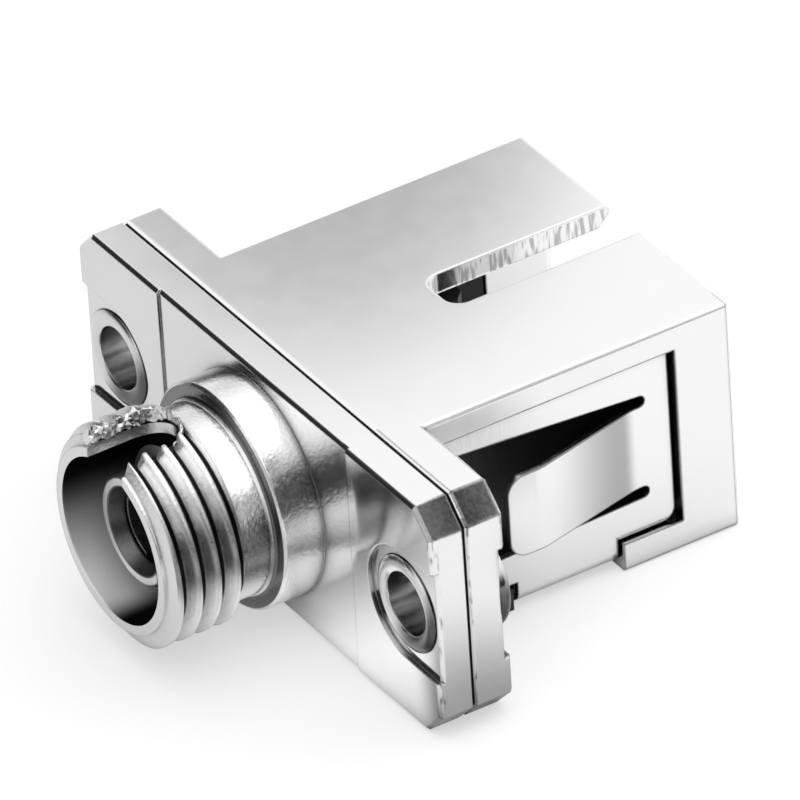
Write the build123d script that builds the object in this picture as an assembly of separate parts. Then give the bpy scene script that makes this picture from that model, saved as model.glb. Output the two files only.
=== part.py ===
from build123d import *
import os

# Hybrid fibre adapter: a round threaded nose on one side, a square push-pull socket on the other.
# X runs along the flange, Y along the optical axis from the nose to the socket, Z is up.
# The origin is on the optical axis, in the plane where the two halves of the flange meet.
# All sizes are in millimetres.

# Flange, as long as its two screw holes need
hole_pitch = 18.0
hole_margin = 1.95
flange_length = hole_pitch + 2 * hole_margin
flange_height = 9.0
corner_cut = 0.92
front_plate = 1.2
rear_plate = 1.3
front_land = 0.18
rear_land = 0.2
centre_step = 0.08
centre_width = 11.7
parting_bevel = 0.12
outer_bevel = 0.12
edge_round = 0.1

# Screw holes, each lined by a tubular rivet
rivet_bore = 2.3
rivet_wall = 0.35
rivet_fit = 0.02
rivet_head = 3.7
rivet_head_height = 0.5
rivet_head_round = 0.3
rivet_flare = 3.5
rivet_flare_depth = 0.2
rivet_edge = 0.05
rivet_proud = 0.14
recess_radius = 2.15
recess_mouth = 4.4

# Threaded nose
thread_major = 7.9
thread_minor = 7.0
thread_pitch = 0.75
thread_length = 3.1
thread_crest = 0.14
thread_root = 0.09
thread_start = 0.51
thread_margin = 0.05
thread_run_in = 1.2
thread_run_out = 0.5
thread_turn = -72.0
neck_diameter = 6.9
nose_length = 5.98
nose_lead = 0.35
rim_diameter = 6.72
rim_step = 0.12
nose_bore = 5.9
nose_bore_depth = 2.5
collar_diameter = 8.12
collar_length = 1.67
neck_round = 0.15
keyway_width = 2.2
keyway_length = 2.85

# Alignment sleeve and the tubes that hold it
ferrule_diameter = 2.5
sleeve_outside = 3.2
sleeve_length = 11.4
sleeve_slot = 0.5
sleeve_gap = 0.05
tube_setback = 0.9
tube_outside = 4.0
tube_mouth = 2.76
tube_lead = 0.22
tube_edge = 0.15

# Square box
box_width = 12.66
box_end = 13.54
box_corner = 0.15
box_end_bevel = 0.15
cavity_width = 9.1
cavity_height = 7.4
cavity_corner = 0.3
mouth_bevel = 0.45
key_slot_width = 2.04
key_slot_start = 6.02
key_slot_corner = 0.65

# Recess, windows and feet that take the spring clip
clip_depth = 0.5
clip_thickness = 0.25
clip_gap = 0.08
clip_rail = 1.0
recess_end = 11.28
foot_start = 8.9
foot_height = 1.1
underside_depth = 0.45
clip_bend = 0.3
relief_end = 4.82
relief_height = 1.07
relief_depth = 1.0
window_start = 1.95
window_end = 10.2
window_height = 5.8
window_corner = 0.6

# Spring clip
panel_corner = 0.5
clip_window_start = 2.2
slot_end = 10.17
slot_height = 0.44
slot_flare_top = 0.62
slot_flare_bottom = 0.2
tongue_root = 9.9
tongue_tip = 4.05
tongue_flat = 1.35
tongue_rise = 1.0
tongue_width = 3.2
tongue_corner = 0.7
tongue_bend = 2.0

# Plastic insert with the latch arms
insert_fit = 0.05
insert_base_width = 10.3
insert_base_height = 7.9
insert_base = 1.0
insert_tube_outside = 4.4
insert_lip = 0.5
arm_gap = 6.9
arm_thickness = 0.75
arm_width = 3.4
arm_end = 8.9
hook_reach = 0.55
hook_length = 1.3
hook_flat = 0.35
cheek_gap = 0.05
cheek_thickness = 0.55
cheek_height = 5.6
cheek_end = 10.6
toe_end = 4.65
toe_outside = 6.05
toe_height = 0.85
toe_gap = 0.1

# Places worked out from the sizes above
half_length = flange_length / 2
half_height = flange_height / 2
front_floor = -front_plate
front_face = front_floor - front_land
centre_face = front_face + centre_step
rear_face = rear_plate + rear_land
rim = front_floor - nose_length
collar_front = front_floor - collar_length
bore_floor = rim + nose_bore_depth
tube_front = rim + tube_setback
sleeve_half = sleeve_length / 2
sleeve_seat = sleeve_half + sleeve_gap
sleeve_bore = sleeve_outside / 2 + sleeve_gap
rivet_radius = rivet_bore / 2 + rivet_wall
clip_seat = box_width / 2 - clip_depth
clip_face = clip_seat + clip_thickness
clip_floor = -half_height + underside_depth
clip_under = clip_floor - clip_thickness
recess_top = half_height - clip_rail
foot_top = -half_height + foot_height
relief_top = -half_height + relief_height
panel_top = recess_top - clip_gap
panel_end = recess_end - 2 * clip_gap
panel_foot = foot_top + clip_gap
insert_tube_end = sleeve_seat + insert_lip
cheek_inner = cavity_width / 2 + cheek_gap
cheek_outer = cheek_inner + cheek_thickness
toe_low = -half_height + toe_gap
toe_start = rear_face + toe_gap
beyond = 3.0


def across(front, back, outline):
    """Solid of an outline in X and Z, from one Y to a larger one."""
    plane = Plane(origin=(0, back, 0), x_dir=(1, 0, 0), z_dir=(0, -1, 0))
    return extrude(plane * outline, amount=back - front)


def along(near, far, outline):
    """Solid of an outline in Y and Z, from one X to a larger one."""
    plane = Plane(origin=(near, 0, 0), x_dir=(0, 1, 0), z_dir=(1, 0, 0))
    return extrude(plane * outline, amount=far - near)


def turned(*points, x=0):
    """Ring turned about a line along Y, from its (radius, Y) corners."""
    face = make_face(Polyline(*points, close=True))
    return Pos(x, 0, 0) * revolve(face, Axis.Y)


def both_sides(shape):
    return shape + mirror(shape, Plane.YZ)


def flange_outline():
    plate = Rectangle(flange_length, flange_height)
    return chamfer(plate.vertices(), corner_cut)


def rivet_recess():
    """Slot round a screw hole, open to the end of the flange and a little wider there."""
    slot_end_x = half_length + beyond
    flare = (recess_mouth / 2 - recess_radius) / (half_length - hole_pitch / 2)
    far_half = recess_radius + flare * (slot_end_x - hole_pitch / 2)
    slot = Polygon(
        (hole_pitch / 2, recess_radius),
        (hole_pitch / 2, -recess_radius),
        (slot_end_x, -far_half),
        (slot_end_x, far_half),
        align=None,
    )
    return slot + Pos(hole_pitch / 2, 0) * Circle(recess_radius)


def lands(front, back):
    recess = rivet_recess()
    return across(front, back, flange_outline() - recess - mirror(recess, Plane.YZ))


def thread_groove():
    """Right-hand V groove that runs in from the rim and out over the neck."""
    depth = (thread_major - thread_minor) / 2
    reach = depth + thread_margin
    half_root = thread_root / 2
    half_crest = (thread_pitch - thread_crest) / 2
    half_top = half_root + (half_crest - half_root) * reach / depth
    start_y = rim + thread_start - thread_run_in * thread_pitch
    run = thread_length - thread_start + (thread_run_in + thread_run_out) * thread_pitch
    path = Pos(0, start_y, 0) * Helix(thread_pitch, run, thread_minor / 2, direction=(0, 1, 0))
    start = path @ 0
    outward = Vector(start.X, 0, start.Z).normalized()
    plane = Plane(origin=start, x_dir=outward, z_dir=path % 0)
    profile = Polygon(
        (0, half_root),
        (0, -half_root),
        (reach, -half_top),
        (reach, half_top),
        align=None,
    )
    return sweep(plane * profile, path, is_frenet=True)


def keyway():
    """Slot through the top of the barrel, with a round end."""
    end = rim + keyway_length
    straight = end - keyway_width / 2
    outline = Pos(0, (rim - beyond + straight) / 2) * Rectangle(keyway_width, straight - rim + beyond)
    outline += Pos(0, straight) * Circle(keyway_width / 2)
    bottom = (nose_bore / 2 + tube_outside / 2) / 2
    return extrude(Plane.XY.offset(bottom) * outline, amount=beyond)


def nose():
    """Barrel, neck and collar, turned, with the pocket round the inner tube."""
    neck_end = rim + thread_length
    major = thread_major / 2
    neck = neck_diameter / 2
    body = turned(
        (0, front_floor),
        (0, rim),
        (rim_diameter / 2, rim),
        (rim_diameter / 2, rim + rim_step),
        (major, rim + nose_lead),
        (major, neck_end - thread_pitch / 3),
        (neck, neck_end),
        (neck, collar_front - neck_round),
        (neck + neck_round, collar_front),
        (collar_diameter / 2 - edge_round, collar_front),
        (collar_diameter / 2, collar_front + edge_round),
        (collar_diameter / 2, front_floor),
    )
    pocket = turned(
        (tube_outside / 2, bore_floor),
        (tube_outside / 2, tube_front + edge_round),
        (tube_outside / 2 - edge_round, tube_front),
        (0, tube_front),
        (0, rim - beyond),
        (nose_bore / 2, rim - beyond),
        (nose_bore / 2, bore_floor),
    )
    threaded = Rot(0, thread_turn, 0) * (body - thread_groove())
    return threaded - pocket - keyway()


def sleeve_hole(mouth, step, end):
    """Bore for the sleeve, with a tapered mouth that keeps the sleeve in."""
    return turned(
        (0, mouth),
        (tube_mouth / 2 + tube_lead, mouth),
        (tube_mouth / 2, step),
        (sleeve_bore, step),
        (sleeve_bore, end),
        (0, end),
    )


def rivet_hole(x):
    """Hole through both plates, countersunk at the front for the rivet's flare."""
    shank = rivet_radius + rivet_fit
    flare = rivet_flare / 2 + rivet_fit
    return turned(
        (0, front_face - beyond),
        (flare, front_face - beyond),
        (flare, front_floor),
        (shank, front_floor + rivet_flare_depth),
        (shank, rear_face + beyond),
        (0, rear_face + beyond),
        x=x,
    )


def rivet_holes():
    return rivet_hole(-hole_pitch / 2) + rivet_hole(hole_pitch / 2)


def plate_bevel(y_open, y_shut):
    """Wedge ring that bevels the edge of a plate all round, open at the first Y."""
    inset = abs(y_shut - y_open)
    whole = across(min(y_open, y_shut), max(y_open, y_shut), offset(flange_outline(), beyond))
    narrow = Plane(origin=(0, y_open, 0), x_dir=(1, 0, 0), z_dir=(0, -1, 0))
    wide = Plane(origin=(0, y_shut, 0), x_dir=(1, 0, 0), z_dir=(0, -1, 0))
    inner = offset(flange_outline(), -inset, kind=Kind.INTERSECTION)
    kept = loft([narrow * inner, wide * flange_outline()])
    return whole - kept


def fc_housing():
    plate = across(front_floor, 0, flange_outline())
    plate -= plate_bevel(front_floor, front_floor + outer_bevel)
    side_lands = lands(front_face, front_floor + outer_bevel)
    side_lands -= plate_bevel(front_face, front_face + outer_bevel)
    centre_area = Rectangle(centre_width, flange_height * 2)
    centre = across(front_face - beyond, centre_face, centre_area)
    body = plate + (side_lands - centre)
    centre_edge = plate_bevel(centre_face, centre_face + outer_bevel)
    body -= centre_edge & across(centre_face, centre_face + outer_bevel, centre_area)
    body -= plate_bevel(0, -parting_bevel)
    body += nose()
    body -= sleeve_hole(tube_front, -sleeve_seat, beyond)
    return body - rivet_holes()


def box_shell():
    outline = RectangleRounded(box_width, flange_height, box_corner)
    shell = across(rear_plate, box_end, outline)
    end_edges = shell.faces().sort_by(Axis.Y)[-1].edges()
    return chamfer(end_edges, box_end_bevel)


def cavity():
    hollow = across(-beyond, box_end + beyond, RectangleRounded(cavity_width, cavity_height, cavity_corner))
    plane = Plane(origin=(0, box_end, 0), x_dir=(1, 0, 0), z_dir=(0, -1, 0))
    inside = plane.offset(mouth_bevel) * RectangleRounded(cavity_width, cavity_height, cavity_corner)
    grown = 2 * mouth_bevel
    mouth_corner = cavity_corner + mouth_bevel / 2
    outside = plane * RectangleRounded(cavity_width + grown, cavity_height + grown, mouth_corner)
    return hollow + loft([inside, outside])


def insert_pocket():
    width = insert_base_width + 2 * insert_fit
    height = insert_base_height + 2 * insert_fit
    return across(-beyond, insert_base, Rectangle(width, height))


def key_slot():
    length = box_end + beyond - key_slot_start
    outline = Rectangle(key_slot_width, length)
    inner_corners = outline.vertices().sort_by(Axis.Y)[:2]
    outline = fillet(inner_corners, key_slot_corner)
    placed = Pos(0, key_slot_start + length / 2, 0) * outline
    return extrude(Plane.XY.offset(cavity_height / 4) * placed, amount=flange_height)


def clip_core():
    """What stays of the box under the clip."""
    height = 2 * half_height + beyond
    core = RectangleRounded(2 * clip_seat, height, clip_bend)
    return across(0, box_end, Pos(0, clip_floor + height / 2) * core)


def clip_recess():
    """Step round the sides and underside that the clip lies in, less the two feet."""
    low = -half_height - beyond
    wide = box_width + beyond
    front_height = recess_top - low
    front = across(rear_face, foot_start, Pos(0, low + front_height / 2) * Rectangle(wide, front_height))
    back_height = recess_top - foot_top
    back = across(foot_start, recess_end, Pos(0, foot_top + back_height / 2) * Rectangle(wide, back_height))
    return front + back - clip_core()


def side_cuts():
    """Windows behind the tongues, slots for the insert's side walls, and the lower front corners."""
    window_length = window_end - window_start
    outline = RectangleRounded(window_length, window_height, window_corner)
    middle = window_start + window_length / 2
    window = along(cavity_width / 4, box_width, Pos(middle, 0) * outline)
    relief_outline = Rectangle(relief_end - rear_face, 2 * relief_height)
    relief_middle = (relief_end + rear_face) / 2
    relief = along(clip_seat - relief_depth, box_width, Pos(relief_middle, -half_height) * relief_outline)
    slot_outer = cheek_outer + insert_fit
    slot_height = cheek_height + 2 * insert_fit
    slot_length = cheek_end + insert_fit
    slot = along(cavity_width / 4, slot_outer, Pos(slot_length / 2, 0) * Rectangle(slot_length, slot_height))
    leg_outline = Pos(relief_middle, -half_height) * Rectangle(relief_end - rear_face, flange_height)
    leg = along(cavity_width / 2 - cheek_gap, slot_outer, leg_outline)
    return both_sides(window + relief + slot + leg)


def sc_housing():
    plate = across(0, rear_plate, flange_outline())
    plate -= plate_bevel(rear_plate, rear_plate - outer_bevel)
    side_lands = lands(rear_plate - outer_bevel, rear_face)
    side_lands -= plate_bevel(rear_face, rear_face - outer_bevel)
    body = plate + side_lands
    body -= plate_bevel(0, parting_bevel)
    body += box_shell()
    body -= cavity()
    body -= insert_pocket()
    body -= key_slot()
    body -= clip_recess()
    body -= side_cuts()
    return body - rivet_holes()


def latch_arm():
    """One arm with its inward hook, on the +X side."""
    inner = arm_gap / 2
    outer = inner + arm_thickness
    outline = Polyline(
        (inner, 0),
        (outer, 0),
        (outer, arm_end),
        (inner - hook_reach + hook_flat, arm_end),
        (inner - hook_reach, arm_end - hook_flat),
        (inner - hook_reach, arm_end - 2 * hook_flat),
        (inner, arm_end - hook_length),
        close=True,
    )
    return extrude(Plane.XY.offset(-arm_width / 2) * make_face(outline), amount=arm_width)


def cheek():
    """Side wall of the insert behind one tongue, with a toe in the lower front corner."""
    wall = along(cheek_inner, cheek_outer, Pos(cheek_end / 2, 0) * Rectangle(cheek_end, cheek_height))
    toe_length = toe_end - toe_start
    middle = toe_start + toe_length / 2
    leg = along(cheek_inner, cheek_outer, Pos(middle, toe_low / 2) * Rectangle(toe_length, -toe_low))
    foot = Pos(middle, toe_low + toe_height / 2) * Rectangle(toe_length, toe_height)
    return wall + leg + along(cheek_inner, toe_outside, foot)


def sc_latch_insert():
    base = across(0, insert_base, Rectangle(insert_base_width, insert_base_height))
    tube = turned(
        (0, 0),
        (insert_tube_outside / 2, 0),
        (insert_tube_outside / 2, insert_tube_end - tube_edge),
        (insert_tube_outside / 2 - tube_edge, insert_tube_end),
        (0, insert_tube_end),
    )
    body = base + tube + both_sides(latch_arm()) + both_sides(cheek())
    return body - sleeve_hole(insert_tube_end, sleeve_seat, -beyond)


def split_sleeve():
    ring = turned(
        (ferrule_diameter / 2, -sleeve_half),
        (sleeve_outside / 2, -sleeve_half),
        (sleeve_outside / 2, sleeve_half),
        (ferrule_diameter / 2, sleeve_half),
    )
    slot = Pos(0, 0, -sleeve_outside / 2) * Box(sleeve_slot, 2 * sleeve_length, sleeve_outside)
    return ring - slot


def clip_strip():
    """The folded sheet before its windows: both side panels and the web under the box."""
    height = 2 * half_height + beyond
    outer = RectangleRounded(2 * clip_face, height, clip_bend + clip_thickness)
    inner = RectangleRounded(2 * clip_seat, height, clip_bend)
    sheet = Pos(0, clip_under + height / 2) * outer - Pos(0, clip_floor + height / 2) * inner
    start = rear_face + clip_gap
    strip = across(start, panel_end, sheet)
    above = Pos(0, panel_top + height / 2) * Rectangle(box_width + beyond, height)
    strip -= across(start - beyond, panel_end + beyond, above)
    low = relief_top + clip_gap
    front_cut = Pos(0, low - beyond / 2) * Rectangle(box_width + beyond, beyond)
    strip -= across(start - beyond, relief_end, front_cut)
    return strip - foot_cut()


def foot_cut():
    """Takes the sheet off above the feet, with a round lower corner at the rear of each panel."""
    width = box_width + beyond
    start = foot_start - clip_gap
    below = across(start, panel_end + beyond, Pos(0, panel_foot - beyond / 2) * Rectangle(width, beyond))
    corner = Pos(panel_end - panel_corner / 2, panel_foot + panel_corner / 2)
    square = corner * Rectangle(panel_corner, panel_corner)
    square -= Pos(panel_end - panel_corner, panel_foot + panel_corner) * Circle(panel_corner)
    return below + along(-width / 2, width / 2, square)


def clip_window():
    """Cut-out round one tongue, wider towards its free end."""
    root_half = tongue_width / 2 + slot_height
    radius = slot_height / 2
    outline = Polygon(
        (clip_window_start, -root_half - slot_flare_bottom),
        (slot_end - radius, -root_half),
        (slot_end - radius, root_half),
        (clip_window_start, root_half + slot_flare_top),
        align=None,
    )
    for side in (-1, 1):
        outline += Pos(slot_end - radius, side * (root_half - radius)) * Circle(radius)
    bridge_length = slot_end - tongue_root
    bridge = Rectangle(2 * bridge_length, tongue_width)
    outline -= Pos(tongue_root + bridge_length, 0) * bridge
    return along(clip_seat - clip_thickness, clip_face + clip_thickness, outline)


def tongue():
    """Tongue on the +X side, bent out and then parallel to the panel again."""
    middle = clip_seat + clip_thickness / 2
    path = FilletPolyline(
        (middle, tongue_root + tongue_corner),
        (middle, tongue_root - clip_thickness),
        (middle + tongue_rise, tongue_tip + tongue_flat),
        (middle + tongue_rise, tongue_tip),
        radius=tongue_bend,
    )
    start = Plane(origin=path @ 0, x_dir=(1, 0, 0), z_dir=path % 0)
    strip = sweep(start * Rectangle(clip_thickness, tongue_width), path)
    length = tongue_root - tongue_tip + tongue_corner
    outline = Rectangle(length, tongue_width)
    free_corners = outline.vertices().sort_by(Axis.X)[:2]
    outline = fillet(free_corners, tongue_corner)
    cookie = along(0, box_width, Pos(tongue_tip + length / 2, 0) * outline)
    return strip & cookie


def spring_clip():
    return clip_strip() - both_sides(clip_window()) + both_sides(tongue())


def eyelet(x):
    """Tubular rivet: round-edged head at the rear, rolled over into a domed ring at the front."""
    bore = rivet_bore / 2
    head = rivet_head / 2
    head_top = rear_plate + rivet_head_height
    flare = rivet_flare / 2
    edge = front_floor - rivet_edge
    crest = ((bore + flare) / 2, front_floor - rivet_proud)
    roll = ThreePointArc((flare, edge), crest, (bore, edge))
    rest = Polyline(
        (bore, edge),
        (bore, head_top),
        (head, head_top),
        (head, rear_plate),
        (rivet_radius, rear_plate),
        (rivet_radius, front_floor + rivet_flare_depth),
        (flare, front_floor),
        (flare, edge),
    )
    outline = make_face([roll, rest])
    top_corners = outline.vertices().sort_by(Axis.Y)[-2:]
    outline = fillet(top_corners, rivet_head_round)
    return Pos(x, 0, 0) * revolve(outline, Axis.Y)


nodes = {
    "fc_housing": fc_housing(),
    "sc_housing": sc_housing(),
    "sc_latch_insert": sc_latch_insert(),
    "split_sleeve": split_sleeve(),
    "spring_clip": spring_clip(),
    "eyelet_left": eyelet(-hole_pitch / 2),
    "eyelet_right": eyelet(hole_pitch / 2),
}

os.makedirs("parts", exist_ok=True)
for name, shape in nodes.items():
    shape.label = name
    export_step(shape, f"parts/{name}.step")
    print(name, len(shape.solids()), round(shape.volume, 3))
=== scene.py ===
import math
from collections import namedtuple

import bmesh
import bpy
from mathutils import Matrix, Vector
from mathutils import noise as field


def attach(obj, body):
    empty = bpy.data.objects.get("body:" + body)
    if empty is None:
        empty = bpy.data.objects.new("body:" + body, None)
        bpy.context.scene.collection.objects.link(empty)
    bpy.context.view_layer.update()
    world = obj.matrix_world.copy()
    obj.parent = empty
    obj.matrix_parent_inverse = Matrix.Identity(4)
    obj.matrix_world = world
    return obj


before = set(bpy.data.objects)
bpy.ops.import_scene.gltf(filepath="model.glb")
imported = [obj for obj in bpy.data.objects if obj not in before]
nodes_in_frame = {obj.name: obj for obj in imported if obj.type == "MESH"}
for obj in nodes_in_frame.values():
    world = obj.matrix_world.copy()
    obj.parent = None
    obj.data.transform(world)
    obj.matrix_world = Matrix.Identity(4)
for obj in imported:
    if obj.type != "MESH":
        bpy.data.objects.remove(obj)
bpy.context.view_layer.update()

MM = 0.001
scene = bpy.context.scene

# Camera: the place and lens found by fitting the corners and circles of the photograph
CAMERA_AZIMUTH = 59.472
CAMERA_ELEVATION = 34.33
CAMERA_ROLL = -3.755
CAMERA_TARGET = Vector((-0.801, 4.8, 0.277)) * MM
CAMERA_DISTANCE = 644.232 * MM
CAMERA_LENS = 865.9
SENSOR_WIDTH = 36.0
CLIP_START = 0.01
CLIP_END = 10.0

# Light tent round the part
TENT_RADIUS = 70 * MM
TENT_CENTRE = Vector((0, 4, -4.5)) * MM
TENT_LEVEL = 1.2
TENT_SEGMENTS = 48
TENT_RINGS = 24

# Soft cards in the tent: direction, angle of the full card, angle where it has faded out, radiance
TENT_CARDS = (
    ((0.15, 0.1, 1.0), 20, 42, 1.9),
    ((-0.742, 0.391, 0.545), 1.2, 11.1, 0.56),
    ((0.86, -0.42, 0.2), 19, 37, 0.04),
    ((0.90, 0.42, -0.03), 9, 24, 0.03),
    ((0.624, 0.296, 0.721), 6, 13, 0.18),
    ((-0.72, -0.62, 0.3), 24, 40, 0.03),
    ((0.25, -0.93, 0.27), 14, 24, 0.55),
)

# Floor, which the part lies on
FLOOR_HEIGHT = -4.5 * MM
FLOOR_GAP = 0.004 * MM
FLOOR_RADIUS = 1.5
FLOOR_SIDES = 96
FLOOR_DIFFUSE = 0.5
FLOOR_GLOW = 0.55
FAR_GLOW = 1.05
FAR_CENTRE = (0.0, 4.0)
FAR_REACH = (26.0, 60.0)

# Floor as the metal mirrors it, a painted reflection: its level on the left and on the right
MIRRORED_LEFT = 0.62
MIRRORED_RIGHT = 0.76
LEVEL_CHANGE = (1.0, 0.6, 0.0, 9.0)

# Painted reflection: a dark patch on the mirrored floor, in front and to the right of the nose, seen
# only in the metal.
# Each edge has a slope in x, a slope in y, the place where it starts and its softness, in mm
PAINTED_DARK_DEPTH = 0.8
PAINTED_DARK_LEFT_EDGE = (1.0, -1.75, 12.6, 0.8)
PAINTED_DARK_BACK_EDGE = (0.42, -1.0, 5.6, 1.2)
PAINTED_DARK_NEAR_EDGE = (1.0, 0.0, 5.0, 2.5)
PAINTED_DARK_RIGHT_EDGE = (1.0, 0.0, 12.2, 1.0)
PAINTED_DARK_THIN_EDGE = (0.42, -1.0, 8.2, 1.2)
PAINTED_DARK_THIN_DEPTH = 0.45

# Painted shadow: dim spots on the mirrored floor by the flange and the box: centre, reach of the full
# spot and where it has faded out, in mm, and the part of the light that is left
PAINTED_SHADOW_SPOTS = (
    ((11.3, 1.2), (0.6, 7.5), 0.4),
    ((7.0, 2.0), (0.5, 4.0), 0.5),
    ((17.0, 8.6), (0.5, 4.0), 0.55),
)

# Painted light: glow of the mirrored floor under the nose, where the part's own shadow would leave it
# dark
LIFT_CENTRE = (6.5, -3.2)
LIFT_REACH = (2.0, 7.5)
LIFT_NEAR = 0.9
LIFT_FAR = 0.35

# Places on the nose, along the optical axis and as radii
NOSE_Y = -1.25 * MM
NOSE_RADIUS = 4.2 * MM
INSIDE_RADIUS = 3.0 * MM
BARREL_WALL_RADIUS = 2.5 * MM
BORE_WALL_RADIUS = 1.65 * MM
THREAD_Y = (-6.9 * MM, -4.1 * MM)
THREAD_RADIUS = (3.4 * MM, 4.0 * MM)
THREAD_ROOT = (3.51 * MM, 3.56 * MM)
NECK_Y = (-4.1 * MM, -2.9 * MM)
NECK_RADIUS = (3.3 * MM, 3.56 * MM)
COLLAR_FACE_Y = (-2.95 * MM, -2.72 * MM)
COLLAR_FACE_RADIUS = (3.5 * MM, 3.97 * MM)

# Places on the flange and the box
JOINT_WIDTH = (0.02 * MM, 0.05 * MM)
REAR_LIP_Y = (0.05 * MM, 0.16 * MM)
REAR_LIP_Z = 3.8 * MM
CORNER_CUT_SUM = 14.46 * MM
FRONT_BEVEL_Y = (-1.4 * MM, -1.06 * MM)
JOINT_BEVEL_Y = (0.06 * MM, 0.13 * MM)
FLANGE_END_X = 10.82 * MM
LINED_X = 5.5 * MM
LINED_Y = 1.45 * MM
LINED_Z = 3.2 * MM
KEY_SLOT_X = 1.1 * MM
KEY_SLOT_Y = 5.9 * MM
KEY_SLOT_Z = (2.6 * MM, 4.4 * MM)

# Rivets
SCREW_X = 9.0 * MM
RIVET_BORE_RADIUS = 1.19 * MM
RING_SHADE_WIDTH = 1.7 * MM
BORE_BAND_TOP = 0.75 * MM
BORE_BAND_PITCH = 1.15 * MM

# Tongue of the spring clip, along the box
TONGUE_HALF_WIDTH = 1.6 * MM
TONGUE_SHADE = (5.6 * MM, 9.0 * MM)
TONGUE_ROOT = (9.2 * MM, 9.8 * MM)
TONGUE_TIP = (2.6 * MM, 4.4 * MM)

# Torn metal along the keyway
RIM_Y = -7.16 * MM
KEYWAY_HALF_WIDTH = 1.1 * MM
KEYWAY_STRAIGHT = 1.75 * MM
KEYWAY_END_SHARE = 0.9
BARREL_RADIUS = 3.9 * MM
TORN_SIZE = 0.34 * MM
TORN_END_SIZE = 0.07 * MM
TORN_FULL_SHARE = 0.45
TORN_SINK = 0.18 * MM
TORN_LEAN_X = 0.55
TORN_LEAN_Y = 0.25
TORN_STEPS = 46
TORN_SIDES = 11
CRUMPLE_SIZE = 0.16 * MM
CRUMPLE_DETAIL = 2.3

EDGE_SAMPLES = 6
SKY_SAMPLES = 4
DEEP_SKY = (0.15, 0.75)
FINE_SKY = (0.3, 0.9)
MIDDLE_NOISE = (0.3, 0.7)

Point = namedtuple("Point", "place x y z")


def grey(value):
    return (value, value, value, 1)


def new_material(name):
    material = bpy.data.materials.new(name)
    material.use_nodes = True
    tree = material.node_tree
    tree.nodes.clear()
    output = tree.nodes.new("ShaderNodeOutputMaterial")
    return material, tree, output


def link(tree, source, target):
    tree.links.new(source, target)


def principled(name):
    """Material with one principled shader, and the point that it shades."""
    material, tree, output = new_material(name)
    shader = tree.nodes.new("ShaderNodeBsdfPrincipled")
    link(tree, shader.outputs[0], output.inputs["Surface"])
    return material, tree, shader, position_parts(tree)


def position_parts(tree):
    coordinates = tree.nodes.new("ShaderNodeTexCoord")
    split = tree.nodes.new("ShaderNodeSeparateXYZ")
    link(tree, coordinates.outputs["Object"], split.inputs[0])
    return Point(coordinates.outputs["Object"], split.outputs[0], split.outputs[1], split.outputs[2])


def maths(tree, operation, first, second=None, third=None, clamp=False):
    """Math node. Each input is a socket or a number."""
    node = tree.nodes.new("ShaderNodeMath")
    node.operation = operation
    node.use_clamp = clamp
    for index, value in enumerate((first, second, third)):
        if value is None:
            continue
        if isinstance(value, (int, float)):
            node.inputs[index].default_value = value
        else:
            link(tree, value, node.inputs[index])
    return node.outputs[0]


def times(tree, first, second):
    return maths(tree, "MULTIPLY", first, second)


def opposite(tree, value):
    return maths(tree, "SUBTRACT", 1.0, value)


def distance(tree, first, second):
    """Length of the two sides of a right angle together."""
    return maths(tree, "SQRT", maths(tree, "MULTIPLY_ADD", first, first, times(tree, second, second)))


def between(tree, value, low, high):
    above = maths(tree, "GREATER_THAN", value, low)
    return times(tree, above, maths(tree, "LESS_THAN", value, high))


def smooth_range(tree, value, low, high, to_low, to_high):
    """Smooth ramp of a value from one range to another."""
    node = tree.nodes.new("ShaderNodeMapRange")
    node.interpolation_type = "SMOOTHSTEP"
    link(tree, value, node.inputs["Value"])
    node.inputs["From Min"].default_value = low
    node.inputs["From Max"].default_value = high
    node.inputs["To Min"].default_value = to_low
    node.inputs["To Max"].default_value = to_high
    return node.outputs["Result"]


def blend_values(tree, factor, first, second):
    node = tree.nodes.new("ShaderNodeMix")
    node.data_type = "FLOAT"
    link(tree, factor, node.inputs[0])
    for index, value in ((2, first), (3, second)):
        if isinstance(value, (int, float)):
            node.inputs[index].default_value = value
        else:
            link(tree, value, node.inputs[index])
    return node.outputs[0]


def blend_colours(tree, factor, first, second):
    node = tree.nodes.new("ShaderNodeMix")
    node.data_type = "RGBA"
    link(tree, factor, node.inputs[0])
    for index, value in ((6, first), (7, second)):
        if isinstance(value, tuple):
            node.inputs[index].default_value = value
        else:
            link(tree, value, node.inputs[index])
    return node.outputs[2]


def stretched(tree, place, scale):
    node = tree.nodes.new("ShaderNodeMapping")
    node.inputs["Scale"].default_value = scale
    link(tree, place, node.inputs["Vector"])
    return node.outputs[0]


def noise(tree, vector, scale, detail=3.0, roughness=0.5):
    node = tree.nodes.new("ShaderNodeTexNoise")
    link(tree, vector, node.inputs["Vector"])
    node.inputs["Scale"].default_value = scale
    node.inputs["Detail"].default_value = detail
    node.inputs["Roughness"].default_value = roughness
    return node.outputs[0]


def bump(tree, height, strength, depth, normal):
    node = tree.nodes.new("ShaderNodeBump")
    node.inputs["Strength"].default_value = strength
    node.inputs["Distance"].default_value = depth
    link(tree, height, node.inputs["Height"])
    link(tree, normal, node.inputs["Normal"])
    return node.outputs[0]


def open_sky(tree, reach, shut, wide):
    """1 where a face is open, falling to 0 in grooves, corners and where pieces meet."""
    node = tree.nodes.new("ShaderNodeAmbientOcclusion")
    node.samples = SKY_SAMPLES
    node.inputs["Distance"].default_value = reach
    return smooth_range(tree, node.outputs["AO"], shut, wide, 0.0, 1.0)


def painted_crevice_shade(tree, colour, fine_reach, deep_reach, deep_shade):
    """Painted shade: darkens a metal's colour in its fine grooves, and less so where it lies deep."""
    deep = open_sky(tree, deep_reach, *DEEP_SKY)
    deep_colour = blend_colours(tree, deep, grey(deep_shade), colour)
    fine = open_sky(tree, fine_reach, *FINE_SKY)
    return blend_colours(tree, fine, grey(0.02), deep_colour)


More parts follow.
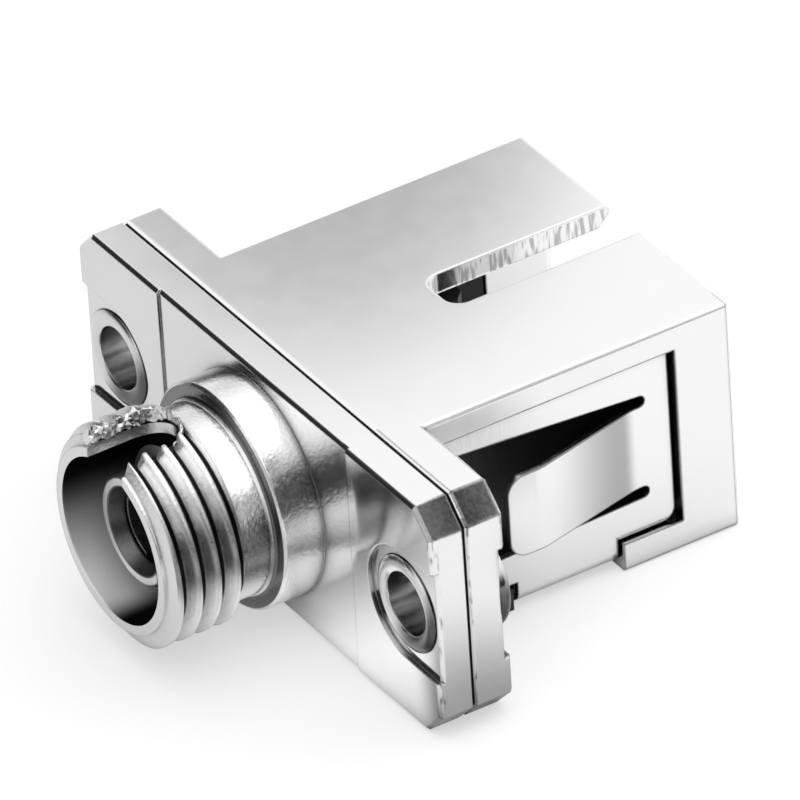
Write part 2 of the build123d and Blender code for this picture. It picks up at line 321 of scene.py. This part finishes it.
def rounded_edges(tree, radius):
    """Normal that is rounded at sharp edges. The radius is a number or a socket."""
    node = tree.nodes.new("ShaderNodeBevel")
    node.samples = EDGE_SAMPLES
    if isinstance(radius, float):
        node.inputs["Radius"].default_value = radius
    else:
        link(tree, radius, node.inputs["Radius"])
    return node.outputs[0]


def edge_lines(tree, soft):
    """1 in a thin line along sharp edges, where the rounded normal leans away from the face's own."""
    geometry = tree.nodes.new("ShaderNodeNewGeometry")
    lean = tree.nodes.new("ShaderNodeVectorMath")
    lean.operation = "DOT_PRODUCT"
    link(tree, soft, lean.inputs[0])
    link(tree, geometry.outputs["True Normal"], lean.inputs[1])
    return smooth_range(tree, lean.outputs["Value"], 0.93, 0.998, 1.0, 0.0)


def lean_upward(tree, normal, amount):
    """Normal turned towards straight up, the more so the larger the amount."""
    upward = tree.nodes.new("ShaderNodeCombineXYZ")
    link(tree, amount, upward.inputs[2])
    both = tree.nodes.new("ShaderNodeVectorMath")
    both.operation = "ADD"
    link(tree, upward.outputs[0], both.inputs[0])
    link(tree, normal, both.inputs[1])
    unit = tree.nodes.new("ShaderNodeVectorMath")
    unit.operation = "NORMALIZE"
    link(tree, both.outputs[0], unit.inputs[0])
    return unit.outputs[0]


def ring_zone(tree, y, radius, y_range, radius_range):
    """1 in a ring round the optical axis, 0 outside it."""
    return times(tree, between(tree, y, *y_range), between(tree, radius, *radius_range))


def nose_zones(tree, y, radius, threaded):
    """The turned and hollow parts of the nose, each 1 in its zone and 0 outside."""
    in_front = maths(tree, "LESS_THAN", y, NOSE_Y)
    inside = times(tree, in_front, maths(tree, "LESS_THAN", radius, INSIDE_RADIUS))
    thread = ring_zone(tree, y, radius, THREAD_Y, THREAD_RADIUS)
    return {
        "satin": times(tree, in_front, maths(tree, "LESS_THAN", radius, NOSE_RADIUS)),
        "inside": inside,
        "barrel_wall": times(tree, inside, maths(tree, "GREATER_THAN", radius, BARREL_WALL_RADIUS)),
        "bore_wall": times(tree, inside, maths(tree, "LESS_THAN", radius, BORE_WALL_RADIUS)),
        "thread": times(tree, thread, threaded),
        "neck": ring_zone(tree, y, radius, NECK_Y, NECK_RADIUS),
        "collar_face": ring_zone(tree, y, radius, COLLAR_FACE_Y, COLLAR_FACE_RADIUS),
    }


def inner_shade(tree, point):
    """1 on the dark parts of the barrel's inner wall, which is lit only low on the left."""
    low = smooth_range(tree, point.z, -2.6 * MM, 1.5 * MM, 1.0, 0.0)
    left = smooth_range(tree, point.x, -0.9 * MM, 0.7 * MM, 1.0, 0.0)
    light = maths(tree, "MINIMUM", low, left)
    return opposite(tree, maths(tree, "POWER", light, 1.8))


def dim_band(tree, rise, middle, inner, outer, depth):
    """Painted dim band along a turned surface, standing in for a dark reflection. The rise is the
    height over the radius.
    """
    away = maths(tree, "ABSOLUTE", maths(tree, "SUBTRACT", rise, middle))
    return smooth_range(tree, away, inner, outer, depth, 0.0)


def slot_streaks(tree, point):
    """0 on the dark cutter marks across the sides of the key slot, 1 everywhere else."""
    along_cut = stretched(tree, point.place, (1.0, 1.0, 0.15))
    marks = smooth_range(tree, noise(tree, along_cut, 6000.0, 2.0), 0.38, 0.55, 0.0, 1.0)
    near = maths(tree, "LESS_THAN", maths(tree, "ABSOLUTE", point.x), KEY_SLOT_X)
    near = times(tree, near, maths(tree, "GREATER_THAN", point.y, KEY_SLOT_Y))
    near = times(tree, near, between(tree, point.z, *KEY_SLOT_Z))
    return blend_values(tree, near, 1.0, marks)


def corner_cut_shade(tree, point, mottle):
    """Shade on the upper right corner cuts of the plates, deeper towards the joint of the halves."""
    on_cut = maths(tree, "GREATER_THAN", maths(tree, "ADD", point.x, point.z), CORNER_CUT_SUM)
    front = smooth_range(tree, point.y, -1.3 * MM, -0.1 * MM, 0.0, 0.55)
    rear = smooth_range(tree, point.y, 0.1 * MM, 1.4 * MM, 0.65, 0.2)
    depth = blend_values(tree, maths(tree, "GREATER_THAN", point.y, 0.0), front, rear)
    depth = maths(tree, "ADD", depth, smooth_range(tree, mottle, 0.4, 0.6, -0.12, 0.12))
    return maths(tree, "MULTIPLY", depth, on_cut, clamp=True)


def painted_nick_shade(tree, point):
    """Dark marks in the bright bevels at the right end of both plates: painted shade standing in for
    the shading of small nicks.
    """
    front = between(tree, point.y, *FRONT_BEVEL_Y)
    joint = between(tree, point.y, *JOINT_BEVEL_Y)
    edge = maths(tree, "MAXIMUM", front, joint)
    edge = times(tree, edge, maths(tree, "GREATER_THAN", point.x, FLANGE_END_X))
    along_edge = stretched(tree, point.place, (1.0, 1.0, 0.3))
    marks = smooth_range(tree, noise(tree, along_edge, 5200.0, 3.0), 0.5, 0.75, 0.0, 0.75)
    return times(tree, edge, marks)


def painted_edge_shade_lines(tree, point, soft):
    """Painted shade: thin dark lines along the edges of the box and the corner cuts, on the right."""
    lined = maths(
        tree,
        "MAXIMUM",
        maths(tree, "GREATER_THAN", point.y, LINED_Y),
        maths(tree, "GREATER_THAN", point.z, LINED_Z),
    )
    lined = times(tree, lined, maths(tree, "GREATER_THAN", point.x, LINED_X))
    return times(tree, edge_lines(tree, soft), times(tree, lined, 0.85))


def plated_colour(tree, point, radius, zones, rear_lip, soft, broad, fine):
    """Colour of the plate, with its painted shades: painted crevice shade, painted shadow in the dark
    thread roots, and painted shade on the barrel's inner wall.
    """
    rise = maths(tree, "DIVIDE", point.z, radius)
    # Painted reflections: dim bands round the thread and the neck
    thread_dim = times(tree, zones["thread"], dim_band(tree, rise, 0.17, 0.08, 0.36, 0.8))
    neck_dim = times(tree, zones["neck"], dim_band(tree, rise, -0.15, 0.1, 0.55, 0.75))
    shade = blend_colours(tree, broad, (0.77, 0.77, 0.775, 1), grey(0.80))
    shade = blend_colours(tree, slot_streaks(tree, point), grey(0.42), shade)
    # Painted shade on the bore wall, the collar face, the thread and neck bands and the corner cuts,
    # painted shade of nicks, and painted dark edge lines
    darker_zones = (
        (zones["bore_wall"], 0.16),
        (zones["collar_face"], 0.16),
        (thread_dim, 0.2),
        (neck_dim, 0.15),
        (corner_cut_shade(tree, point, fine), 0.1),
        (painted_nick_shade(tree, point), 0.06),
        (painted_edge_shade_lines(tree, point, soft), 0.05),
    )
    for zone, level in darker_zones:
        shade = blend_colours(tree, zone, shade, grey(level))
    # Painted shade in grooves, in corners and where pieces meet
    shaded = painted_crevice_shade(tree, shade, 0.28 * MM, 1.6 * MM, 0.30)
    shaded = blend_colours(tree, rear_lip, shaded, shade)
    shaded = blend_colours(tree, times(tree, zones["thread"], 0.5), shaded, shade)
    wall_shade = blend_colours(tree, inner_shade(tree, point), grey(0.98), grey(0.004))
    shaded = blend_colours(tree, zones["barrel_wall"], shaded, wall_shade)
    # Painted shadow: the thread roots are painted black, where the crests would shade them
    roots = times(tree, zones["thread"], smooth_range(tree, radius, *THREAD_ROOT, 1.0, 0.0))
    return blend_colours(tree, roots, shaded, grey(0.01))


def plated_metal(name, polish, grain, edge, threaded=1.0):
    """Bright plate: flat faces polished, turned nose satin, the line where the halves meet dark."""
    material, tree, shader, point = principled(name)
    radius = distance(tree, point.x, point.z)
    zones = nose_zones(tree, point.y, radius, threaded)
    rear_lip = times(
        tree,
        between(tree, point.y, *REAR_LIP_Y),
        maths(tree, "GREATER_THAN", point.z, REAR_LIP_Z),
    )
    joint = smooth_range(tree, maths(tree, "ABSOLUTE", point.y), *JOINT_WIDTH, 1.0, 0.0)
    broad = noise(tree, point.place, 900.0, 3.0)
    fine = noise(tree, point.place, 7000.0, 4.0, 0.6)
    slow = noise(tree, point.place, 160.0, 1.0)
    soft = rounded_edges(tree, blend_values(tree, zones["thread"], edge, 0.24 * MM))

    plate = plated_colour(tree, point, radius, zones, rear_lip, soft, broad, fine)
    colour = blend_colours(tree, joint, plate, (0.012, 0.012, 0.013, 1))
    link(tree, colour, shader.inputs["Base Color"])

    wall_metal = blend_values(tree, inner_shade(tree, point), 0.35, 0.0)
    link(tree, blend_values(tree, zones["barrel_wall"], 1.0, wall_metal), shader.inputs["Metallic"])
    wall_gloss = blend_values(tree, zones["barrel_wall"], 0.5, 0.0)
    link(tree, wall_gloss, shader.inputs["Specular IOR Level"])

    flat_rough = smooth_range(tree, broad, *MIDDLE_NOISE, polish * 0.8, polish * 1.25)
    satin_rough = smooth_range(tree, fine, 0.35, 0.65, 0.17, 0.26)
    satin_rough = blend_values(tree, zones["inside"], satin_rough, 0.38)
    rough = blend_values(tree, zones["satin"], flat_rough, satin_rough)
    link(tree, blend_values(tree, joint, rough, 0.7), shader.inputs["Roughness"])

    lean = maths(tree, "MULTIPLY_ADD", zones["neck"], 0.3, times(tree, rear_lip, 6.0))
    waves = bump(tree, slow, 0.04, 0.2 * MM, lean_upward(tree, soft, lean))
    grain_height = times(tree, fine, blend_values(tree, zones["satin"], 0.1, 2.6))
    link(tree, bump(tree, grain_height, grain, 0.02 * MM, waves), shader.inputs["Normal"])
    return material


def spring_sheet():
    """Rolled sheet: bright, with a fine grain along the strip, painted shade making the tongue greyer
    at its root and its tip, and painted dark lines along its edges.
    """
    material, tree, shader, point = principled("spring_sheet_bright")
    streaks = noise(tree, stretched(tree, point.place, (1.0, 8.0, 1.0)), 1500.0, 3.0, 0.6)
    # Painted shade of the tongue's bend, at its root and at its tip
    root = smooth_range(tree, point.y, *TONGUE_SHADE, 0.0, 1.0)
    root = times(tree, root, smooth_range(tree, point.y, *TONGUE_ROOT, 1.0, 0.0))
    tip = smooth_range(tree, point.y, *TONGUE_TIP, 0.7, 0.0)
    on_tongue = maths(tree, "LESS_THAN", maths(tree, "ABSOLUTE", point.z), TONGUE_HALF_WIDTH)
    ends = times(tree, maths(tree, "MAXIMUM", root, tip), on_tongue)
    soft = rounded_edges(tree, 0.1 * MM)
    # Painted shade: thin dark lines along the sheet's edges
    lines = times(tree, edge_lines(tree, soft), 0.85)

    shade = blend_colours(tree, streaks, grey(0.78), grey(0.83))
    shade = blend_colours(tree, ends, shade, grey(0.38))
    shade = blend_colours(tree, lines, shade, grey(0.06))
    # Painted shade in grooves, in corners and where pieces meet
    link(tree, painted_crevice_shade(tree, shade, 0.4 * MM, 1.4 * MM, 0.30), shader.inputs["Base Color"])
    shader.inputs["Metallic"].default_value = 1.0
    link(tree, smooth_range(tree, streaks, *MIDDLE_NOISE, 0.14, 0.24), shader.inputs["Roughness"])
    link(tree, bump(tree, streaks, 0.15, 0.01 * MM, soft), shader.inputs["Normal"])
    return material


def rivet_metal():
    """Bright rivets: painted shade makes the ring darker low on the right, and painted reflections
    lay light and dark bands in the bore.
    """
    material, tree, shader, point = principled("rivet_bright")
    broad = noise(tree, point.place, 1800.0, 3.0)
    centre = times(tree, maths(tree, "SIGN", point.x), SCREW_X)
    side = maths(tree, "SUBTRACT", point.x, centre)
    bore = maths(tree, "LESS_THAN", distance(tree, side, point.z), RIVET_BORE_RADIUS)
    # Painted shade on the ring, low on the right
    low_right = maths(tree, "SUBTRACT", side, point.z)
    low_right = smooth_range(tree, low_right, 0.0, RING_SHADE_WIDTH, 0.0, 0.93)
    low_right = times(tree, low_right, opposite(tree, bore))
    # Painted reflections: light and dark bands in the bore
    below_top = maths(tree, "SUBTRACT", point.z, BORE_BAND_TOP)
    wave = maths(tree, "COSINE", times(tree, below_top, 2 * math.pi / BORE_BAND_PITCH))
    bands = times(tree, smooth_range(tree, wave, -0.9, 0.5, 0.5, 0.0), bore)

    shade = blend_colours(tree, broad, (0.70, 0.70, 0.705, 1), grey(0.78))
    shade = blend_colours(tree, low_right, shade, grey(0.07))
    shade = blend_colours(tree, bands, shade, grey(0.05))
    # Painted shade in grooves, in corners and where pieces meet
    shaded = painted_crevice_shade(tree, shade, 0.25 * MM, 1.2 * MM, 0.34)
    link(tree, blend_colours(tree, bore, shaded, shade), shader.inputs["Base Color"])
    shader.inputs["Metallic"].default_value = 1.0
    link(tree, smooth_range(tree, broad, *MIDDLE_NOISE, 0.14, 0.22), shader.inputs["Roughness"])
    soft = rounded_edges(tree, 0.05 * MM)
    link(tree, bump(tree, broad, 0.2, 0.02 * MM, soft), shader.inputs["Normal"])
    return material


def black_plastic():
    """Moulded black, with painted light making it a little greyer near the flange."""
    material, tree, shader, point = principled("insert_black")
    fine = noise(tree, point.place, 5000.0, 4.0, 0.6)
    # Painted light near the flange
    near_flange = smooth_range(tree, point.y, 3.0 * MM, 6.5 * MM, 1.0, 0.0)
    colour = blend_colours(tree, fine, grey(0.006), grey(0.014))
    colour = blend_colours(tree, times(tree, near_flange, fine), colour, grey(0.07))
    link(tree, colour, shader.inputs["Base Color"])
    shader.inputs["Specular IOR Level"].default_value = 0.28
    link(tree, smooth_range(tree, fine, *MIDDLE_NOISE, 0.38, 0.52), shader.inputs["Roughness"])
    soft = rounded_edges(tree, 0.06 * MM)
    link(tree, bump(tree, fine, 0.3, 0.02 * MM, soft), shader.inputs["Normal"])
    return material


def sleeve_bronze():
    """Plated spring bronze, dull inside, its dark grey partly its own colour and partly painted shade
    of the inside of the tube.
    """
    material, tree, shader, point = principled("sleeve_bronze_dull")
    fine = noise(tree, point.place, 3000.0, 2.0)
    # Dark grey: partly the sleeve's own colour, partly painted shade of the tube's inside
    colour = blend_colours(tree, fine, (0.32, 0.31, 0.30, 1), (0.40, 0.39, 0.38, 1))
    link(tree, colour, shader.inputs["Base Color"])
    shader.inputs["Metallic"].default_value = 1.0
    link(tree, smooth_range(tree, fine, *MIDDLE_NOISE, 0.26, 0.36), shader.inputs["Roughness"])
    link(tree, rounded_edges(tree, 0.04 * MM), shader.inputs["Normal"])
    return material


def dress(name, material):
    """Gives a node of the frame its finished material."""
    piece = nodes_in_frame[name]
    for slot in piece.material_slots:
        slot.material = material


def tent_material():
    """Light tent: white cloth with a bright top and soft dark cards."""
    material, tree, output = new_material("tent_cloth")
    unit = tree.nodes.new("ShaderNodeVectorMath")
    unit.operation = "NORMALIZE"
    link(tree, position_parts(tree).place, unit.inputs[0])
    level = TENT_LEVEL
    for direction, inner, outer, radiance in TENT_CARDS:
        dot = tree.nodes.new("ShaderNodeVectorMath")
        dot.operation = "DOT_PRODUCT"
        link(tree, unit.outputs[0], dot.inputs[0])
        dot.inputs[1].default_value = Vector(direction).normalized()
        low = math.cos(math.radians(outer))
        high = math.cos(math.radians(inner))
        inside = smooth_range(tree, dot.outputs["Value"], low, high, 0.0, 1.0)
        level = blend_values(tree, inside, level, radiance)
    glow = tree.nodes.new("ShaderNodeEmission")
    link(tree, level, glow.inputs["Strength"])
    link(tree, glow.outputs[0], output.inputs["Surface"])
    return material


def make_tent():
    mesh = bpy.data.meshes.new("tent")
    shape = bmesh.new()
    bmesh.ops.create_uvsphere(
        shape,
        u_segments=TENT_SEGMENTS,
        v_segments=TENT_RINGS,
        radius=TENT_RADIUS,
    )
    bmesh.ops.bisect_plane(
        shape,
        geom=shape.verts[:] + shape.edges[:] + shape.faces[:],
        plane_co=(0, 0, 0),
        plane_no=(0, 0, -1),
        clear_outer=True,
    )
    bmesh.ops.reverse_faces(shape, faces=shape.faces)
    for face in shape.faces:
        face.smooth = True
    shape.to_mesh(mesh)
    shape.free()
    tent = bpy.data.objects.new("tent", mesh)
    tent.location = TENT_CENTRE
    tent.visible_camera = False
    tent.visible_shadow = False
    mesh.materials.append(tent_material())
    scene.collection.objects.link(tent)


def beyond_edge(tree, point, edge):
    """Soft 0 to 1 across a line on the floor, given as slope in x, slope in y, start and softness."""
    slope_x, slope_y, start, softness = edge
    across = maths(tree, "MULTIPLY_ADD", point.x, slope_x, times(tree, point.y, slope_y))
    return smooth_range(tree, across, (start - softness) * MM, (start + softness) * MM, 0.0, 1.0)


def floor_spot(tree, point, centre, reach, middle, outside=1.0):
    """Factor that goes from middle at a spot of the floor to outside further away."""
    across = maths(tree, "SUBTRACT", point.x, centre[0] * MM)
    along = maths(tree, "SUBTRACT", point.y, centre[1] * MM)
    apart = distance(tree, across, along)
    return smooth_range(tree, apart, reach[0] * MM, reach[1] * MM, middle, outside)


def mirrored_level(tree, point):
    """Light level of the floor as the metal mirrors it, with the painted dark patch and the painted
    shadow spots.
    """
    # Painted reflection: the dark patch, seen only in the metal
    painted_dark = times(
        tree,
        beyond_edge(tree, point, PAINTED_DARK_LEFT_EDGE),
        beyond_edge(tree, point, PAINTED_DARK_BACK_EDGE),
    )
    thin = beyond_edge(tree, point, PAINTED_DARK_THIN_EDGE)
    painted_dark = times(tree, painted_dark, blend_values(tree, thin, 1.0, PAINTED_DARK_THIN_DEPTH))
    painted_dark = times(tree, painted_dark, beyond_edge(tree, point, PAINTED_DARK_NEAR_EDGE))
    painted_dark = times(tree, painted_dark, PAINTED_DARK_DEPTH)
    painted_dark = times(tree, painted_dark, opposite(tree, beyond_edge(tree, point, PAINTED_DARK_RIGHT_EDGE)))
    right = beyond_edge(tree, point, LEVEL_CHANGE)
    level = blend_values(tree, right, MIRRORED_LEFT, MIRRORED_RIGHT)
    level = times(tree, level, opposite(tree, painted_dark))
    for centre, reach, middle in PAINTED_SHADOW_SPOTS:
        level = times(tree, level, floor_spot(tree, point, centre, reach, middle))
    return level


def floor_material():
    """White floor that keeps the part's shadow. Only its mirror image in the metal has the painted
    dark patch, the painted shadow spots and the painted glow under the nose.
    """
    material, tree, output = new_material("floor_white")
    point = position_parts(tree)
    path = tree.nodes.new("ShaderNodeLightPath")
    mirrored = path.outputs["Is Glossy Ray"]
    level = mirrored_level(tree, point)
    far = floor_spot(tree, point, FAR_CENTRE, FAR_REACH, 0.0)

    seen_diffuse = blend_values(tree, far, FLOOR_DIFFUSE, 0.0)
    diffuse = blend_values(tree, mirrored, seen_diffuse, level)
    shade = tree.nodes.new("ShaderNodeCombineXYZ")
    for index in range(3):
        link(tree, diffuse, shade.inputs[index])
    shader = tree.nodes.new("ShaderNodeBsdfDiffuse")
    link(tree, shade.outputs[0], shader.inputs["Color"])

    seen_glow = blend_values(tree, far, FLOOR_GLOW, FAR_GLOW)
    lift = floor_spot(tree, point, LIFT_CENTRE, LIFT_REACH, LIFT_NEAR, LIFT_FAR)
    glow = tree.nodes.new("ShaderNodeEmission")
    strength = blend_values(tree, mirrored, seen_glow, times(tree, level, lift))
    link(tree, strength, glow.inputs["Strength"])

    both = tree.nodes.new("ShaderNodeAddShader")
    link(tree, shader.outputs[0], both.inputs[0])
    link(tree, glow.outputs[0], both.inputs[1])
    link(tree, both.outputs[0], output.inputs["Surface"])
    return material


def make_floor():
    mesh = bpy.data.meshes.new("floor")
    shape = bmesh.new()
    bmesh.ops.create_circle(shape, cap_ends=True, segments=FLOOR_SIDES, radius=FLOOR_RADIUS)
    shape.to_mesh(mesh)
    shape.free()
    floor = bpy.data.objects.new("floor", mesh)
    floor.location = (0, 0, FLOOR_HEIGHT - FLOOR_GAP)
    mesh.materials.append(floor_material())
    scene.collection.objects.link(floor)


def make_world():
    world = bpy.data.worlds.new("studio")
    scene.world = world
    world.use_nodes = True
    back = world.node_tree.nodes["Background"]
    back.inputs["Color"].default_value = (1, 1, 1, 1)
    back.inputs["Strength"].default_value = 1.0


def make_camera():
    azimuth = math.radians(CAMERA_AZIMUTH)
    elevation = math.radians(CAMERA_ELEVATION)
    roll = math.radians(CAMERA_ROLL)
    back = Vector((
        math.sin(azimuth) * math.cos(elevation),
        -math.cos(azimuth) * math.cos(elevation),
        math.sin(elevation),
    ))
    level_right = (-back).cross(Vector((0, 0, 1))).normalized()
    level_up = level_right.cross(-back)
    right = math.cos(roll) * level_right + math.sin(roll) * level_up
    up = -math.sin(roll) * level_right + math.cos(roll) * level_up
    data = bpy.data.cameras.new("camera")
    data.lens = CAMERA_LENS
    data.sensor_width = SENSOR_WIDTH
    data.clip_start = CLIP_START
    data.clip_end = CLIP_END
    camera = bpy.data.objects.new("camera", data)
    turn = Matrix((right, up, back)).transposed().to_4x4()
    camera.matrix_world = Matrix.Translation(CAMERA_TARGET + CAMERA_DISTANCE * back) @ turn
    scene.collection.objects.link(camera)
    scene.camera = camera


def keyway_edge(share):
    """Point and size of the torn edge: back along the keyway's left side, then round its end."""
    run = share * (KEYWAY_STRAIGHT + math.pi * KEYWAY_HALF_WIDTH * KEYWAY_END_SHARE)
    if run < KEYWAY_STRAIGHT:
        place = Vector((-KEYWAY_HALF_WIDTH, RIM_Y + run, 0))
    else:
        turn = (run - KEYWAY_STRAIGHT) / KEYWAY_HALF_WIDTH
        place = Vector((
            -KEYWAY_HALF_WIDTH * math.cos(turn),
            RIM_Y + KEYWAY_STRAIGHT + KEYWAY_HALF_WIDTH * math.sin(turn),
            0,
        ))
    place.z = math.sqrt(BARREL_RADIUS ** 2 - place.x ** 2)
    fading = max(0.0, (share - TORN_FULL_SHARE) / (1 - TORN_FULL_SHARE))
    return place, TORN_SIZE + (TORN_END_SIZE - TORN_SIZE) * fading


def torn_ring(shape, share):
    """Crumpled ring of points round one place on the torn edge."""
    place, size = keyway_edge(share)
    ring = []
    for side in range(TORN_SIDES):
        angle = 2 * math.pi * side / TORN_SIDES
        lean = Vector((TORN_LEAN_X * math.cos(angle), TORN_LEAN_Y * math.cos(angle), math.sin(angle)))
        spot = (place + lean * size) / CRUMPLE_SIZE
        crumple = field.noise(spot) + 0.5 * field.noise(spot * CRUMPLE_DETAIL)
        reach = size * (0.75 + 0.75 * crumple)
        ring.append(shape.verts.new(place - Vector((0, 0, TORN_SINK)) + lean * reach))
    return ring


def make_torn_edge(material):
    """Crumpled metal that the keyway's cutter left standing along its left side."""
    mesh = bpy.data.meshes.new("torn_edge")
    shape = bmesh.new()
    rings = [torn_ring(shape, step / TORN_STEPS) for step in range(TORN_STEPS + 1)]
    for first, second in zip(rings, rings[1:]):
        for side in range(TORN_SIDES):
            after = (side + 1) % TORN_SIDES
            shape.faces.new((first[side], first[after], second[after], second[side]))
    shape.faces.new(list(reversed(rings[0])))
    shape.faces.new(rings[-1])
    bmesh.ops.recalc_face_normals(shape, faces=shape.faces)
    bmesh.ops.triangulate(shape, faces=shape.faces)
    shape.to_mesh(mesh)
    shape.free()
    edge = bpy.data.objects.new("torn_edge", mesh)
    mesh.materials.append(material)
    scene.collection.objects.link(edge)
    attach(edge, "root")


make_camera()
make_world()
make_floor()
make_tent()

# Each node gets its finish, and the torn metal is added
dress("fc_housing", plated_metal("plated_casting_bright", polish=0.1, grain=0.25, edge=0.08 * MM))
make_torn_edge(plated_metal("torn_metal", polish=0.14, grain=0.3, edge=0.02 * MM, threaded=0.0))
dress("sc_housing", plated_metal("plated_box_bright", polish=0.1, grain=0.25, edge=0.13 * MM))
dress("spring_clip", spring_sheet())
rivets = rivet_metal()
dress("eyelet_left", rivets)
dress("eyelet_right", rivets)
dress("sc_latch_insert", black_plastic())
dress("split_sleeve", sleeve_bronze())

scene.view_settings.view_transform = "Standard"
